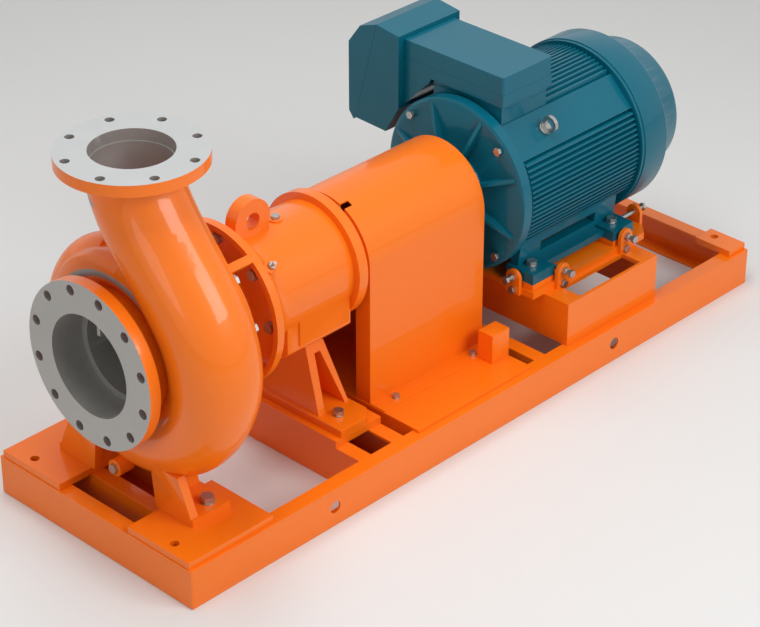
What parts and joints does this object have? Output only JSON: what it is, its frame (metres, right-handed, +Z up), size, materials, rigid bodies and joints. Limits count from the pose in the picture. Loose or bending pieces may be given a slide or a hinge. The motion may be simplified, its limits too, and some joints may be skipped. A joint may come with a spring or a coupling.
{
  "type": "centrifugal slurry pump set",
  "caption": "End-suction slurry pump with volute casing, bearing frame, guarded spacer coupling and finned electric motor on a channel baseplate.",
  "frame": {"origin": "centre of the four anchor bolt holes, at the underside of the base", "axes": "+X along the shaft from the suction flange to the motor fan, +Z up, +Y to the left of someone looking along +X"},
  "size_m": [2.008, 0.724, 0.961],
  "materials": {
    "base_paint": "gloss",
    "guard_paint": "gloss",
    "pump_paint": "gloss",
    "motor_paint": "gloss",
    "zinc_fasteners": "satin",
    "machined_steel": "machined",
    "wet_end_iron": "cast",
    "seal_ring_carbon": "matte",
    "core_laminations": "matte",
    "fan_plastic": "matte"
  },
  "bodies": {
    "pump_set": {"base_rails": "base_paint", "base_end_channels": "base_paint", "base_cross_channels": "base_paint", "base_machined_pads": "base_paint", "guard_floor_plate": "base_paint", "motor_pedestal": "base_paint", "motor_mount_plate": "base_paint", "motor_shims": "base_paint", "jack_lugs": "base_paint", "jack_lug_bolts": "zinc_fasteners", "jack_screws": "zinc_fasteners", "volute_casing": "pump_paint", "drain_plug": "zinc_fasteners", "casing_foot_bolts": "zinc_fasteners", "wear_ring": "wet_end_iron", "seal_seat": "seal_ring_carbon", "seal_gland": "machined_steel", "gland_studs": "zinc_fasteners", "casing_cover": "pump_paint", "cover_bolts": "zinc_fasteners", "bearing_frame": "pump_paint", "pump_bearing_outer_races": "machined_steel", "inboard_bearing_cover": "pump_paint", "outboard_bearing_cover": "pump_paint", "bearing_cover_screws": "zinc_fasteners", "frame_bolts": "zinc_fasteners", "vent_plug": "zinc_fasteners", "level_nipple": "zinc_fasteners", "support_leg": "base_paint", "support_leg_bolts": "zinc_fasteners", "coupling_guard": "guard_paint", "guard_screws": "zinc_fasteners", "motor_frame": "motor_paint", "motor_stator": "core_laminations", "drive_endshield": "motor_paint", "fan_endshield": "motor_paint", "motor_bearings": "machined_steel", "endshield_bolts": "zinc_fasteners", "fan_cowl": "motor_paint", "terminal_adapter": "motor_paint", "terminal_adapter_lid": "motor_paint", "terminal_box": "motor_paint", "terminal_box_lid": "motor_paint", "motor_foot_bolts": "zinc_fasteners", "lifting_eyes": "zinc_fasteners"},
    "pump_rotor": {"impeller": "wet_end_iron", "impeller_nut": "wet_end_iron", "pump_shaft": "machined_steel", "shaft_sleeve": "machined_steel", "seal_rotating_ring": "seal_ring_carbon", "pump_bearing_inner_races": "machined_steel", "pump_bearing_rollers": "machined_steel", "pump_hub": "machined_steel", "coupling_spacer": "machined_steel", "coupling_discs": "machined_steel", "coupling_bolts": "zinc_fasteners"},
    "motor_rotor": {"motor_hub": "machined_steel", "motor_rotor_core": "core_laminations", "motor_shaft": "machined_steel", "cooling_fan": "fan_plastic"}
  },
  "joints": [
    {"name": "motor_spin", "type": "hinge", "parent": "pump_set", "child": "motor_rotor", "pos_m": [0.2, 0, 0.482], "axis": [1, 0, 0], "continuous": true},
    {"name": "pump_spin", "type": "hinge", "parent": "pump_set", "child": "pump_rotor", "pos_m": [-0.5, 0, 0.482], "axis": [1, 0, 0], "continuous": true}
  ],
  "couplings": [
    {"joint": "pump_spin", "follows": "motor_spin", "ratio": 1}
  ]
}
